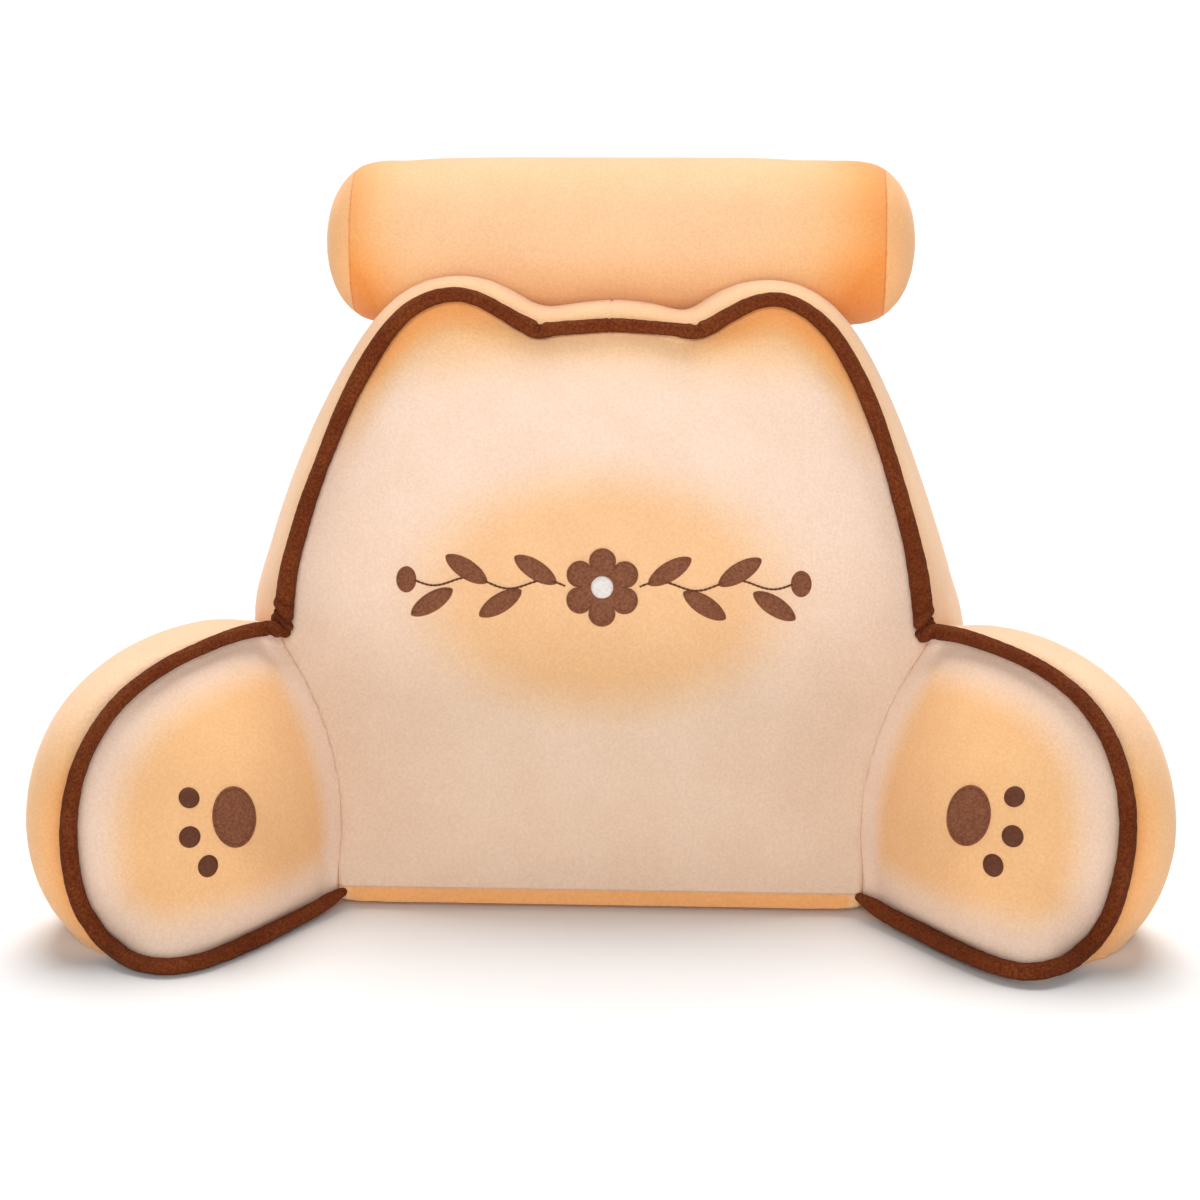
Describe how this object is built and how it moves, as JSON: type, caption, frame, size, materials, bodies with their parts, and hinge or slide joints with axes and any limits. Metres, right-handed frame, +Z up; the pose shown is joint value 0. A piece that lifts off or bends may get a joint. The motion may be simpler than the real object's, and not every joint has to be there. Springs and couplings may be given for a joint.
{
  "type": "reading pillow with arms",
  "caption": "Boxed back cushion with two rounded ears, a pair of splayed filled arms, fat piping along the seams and a neck roll, standing on the floor or a bed.",
  "frame": {"origin": "middle of the backrest's flat underside", "axes": "+X across the pillow, to the right for someone who looks at its front; +Z up; the pillow faces -Y"},
  "size_m": [0.8176, 0.4158, 0.521],
  "materials": {
    "plush_cream": "short pile plush, cream with toasted orange shading",
    "plush_peach": "short pile plush, peach with toasted orange shading",
    "plush_brown": "short pile plush over cord",
    "applique_brown": "short pile cloth with a satin stitched rim",
    "applique_white": "satin stitched"
  },
  "bodies": {
    "root": {"backrest": "plush_cream", "arm_left": "plush_cream", "arm_right": "plush_cream", "neck_roll": "plush_peach", "piping_back": "plush_brown", "piping_arm_left": "plush_brown", "piping_arm_right": "plush_brown", "paw_left_pad": "applique_brown", "paw_left_toe_1": "applique_brown", "paw_left_toe_2": "applique_brown", "paw_left_toe_3": "applique_brown", "paw_right_pad": "applique_brown", "paw_right_toe_1": "applique_brown", "paw_right_toe_2": "applique_brown", "paw_right_toe_3": "applique_brown", "motif_flower": "applique_brown", "motif_flower_centre": "applique_white", "motif_bud_left": "applique_brown", "motif_bud_right": "applique_brown", "motif_leaf_left_1": "applique_brown", "motif_leaf_left_2": "applique_brown", "motif_leaf_left_3": "applique_brown", "motif_leaf_left_4": "applique_brown", "motif_leaf_right_1": "applique_brown", "motif_leaf_right_2": "applique_brown", "motif_leaf_right_3": "applique_brown", "motif_leaf_right_4": "applique_brown"}
  },
  "joints": []
}
